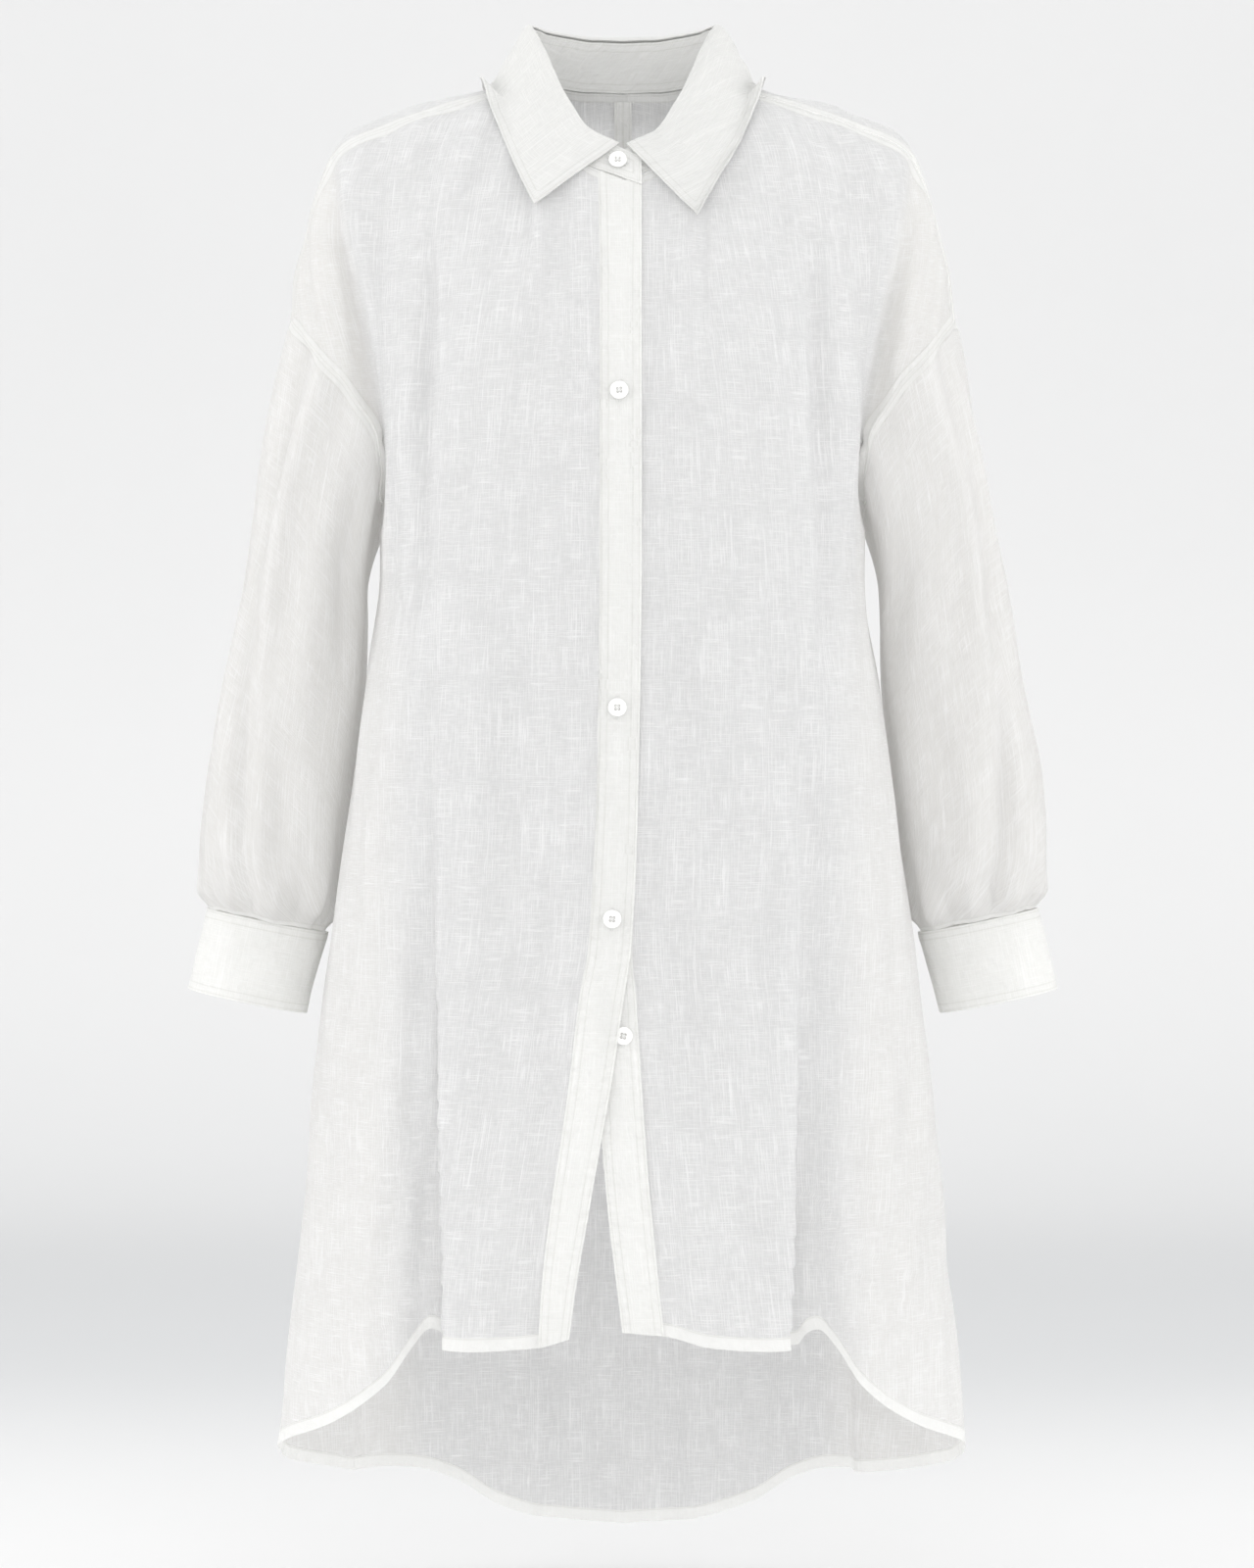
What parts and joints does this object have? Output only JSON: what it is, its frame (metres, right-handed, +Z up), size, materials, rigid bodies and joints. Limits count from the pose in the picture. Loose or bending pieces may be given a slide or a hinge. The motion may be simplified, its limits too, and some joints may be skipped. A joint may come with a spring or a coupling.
{
  "type": "long linen shirt with high-low hem",
  "caption": "Long white linen shirt in its hollow worn form: classic collar, button placket, forward yoke, dropped shoulders, long gathered sleeves with cuffs, and a curved hem longer behind.",
  "frame": {"origin": "middle of the neck, level with the points where the neck meets the shoulders, which is where the wearer holds the shirt up", "axes": "+Z up, along the length of the body; the front faces -Y; the wearer's left is +X"},
  "size_m": [0.632, 0.2842, 1.1169],
  "materials": {
    "linen": "white semi-sheer slub linen, one layer",
    "linen_double": "white slub linen, two layers and stitched",
    "buttons": "white, four holes, satin"
  },
  "bodies": {
    "root": {"front_right": "linen", "front_left": "linen", "back": "linen", "yoke": "linen", "sleeve_right": "linen", "sleeve_left": "linen", "cuff_right": "linen_double", "cuff_left": "linen_double", "placket_right": "linen_double", "placket_left": "linen_double", "collar_stand": "linen_double", "collar_fall": "linen_double", "back_strip": "linen_double", "button_1": "buttons", "button_2": "buttons", "button_3": "buttons", "button_4": "buttons", "button_5": "buttons", "cuff_button_right": "buttons", "cuff_button_left": "buttons"}
  },
  "joints": []
}
